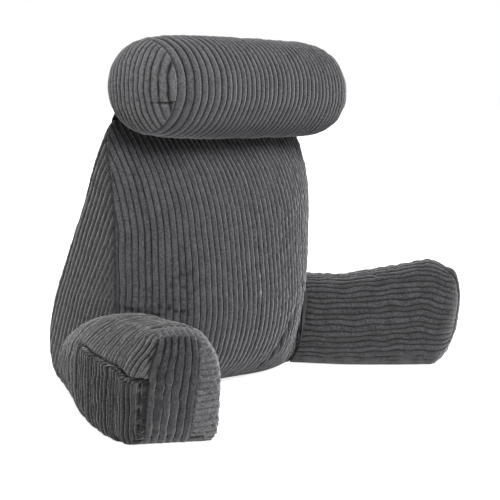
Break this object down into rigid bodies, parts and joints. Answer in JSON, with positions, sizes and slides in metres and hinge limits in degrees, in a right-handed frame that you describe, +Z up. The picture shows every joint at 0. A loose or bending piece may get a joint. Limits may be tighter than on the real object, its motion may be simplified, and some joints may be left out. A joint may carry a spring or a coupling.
{
  "type": "reading pillow with arms",
  "caption": "Wedge-shaped reading pillow in wide-wale corduroy, with two stuffed arms flared forward and a round neck roll held on the backrest's top edge by webbing straps.",
  "frame": {"origin": "on the surface the pillow stands on, midway between the side panels, just under the backrest's top edge", "axes": "+Z up, -Y the way a sitting person faces, +X to the right seen from the front"},
  "size_m": [0.9059, 0.5579, 0.6461],
  "materials": {
    "charcoal_corduroy": "plush wide-wale corduroy, matt with a soft pile sheen",
    "black_webbing": "flat woven webbing, matt"
  },
  "bodies": {
    "root": {"backrest": "charcoal_corduroy", "arm_left": "charcoal_corduroy", "arm_right": "charcoal_corduroy", "neck_roll": "charcoal_corduroy", "strap_left": "black_webbing", "strap_right": "black_webbing"}
  },
  "joints": []
}
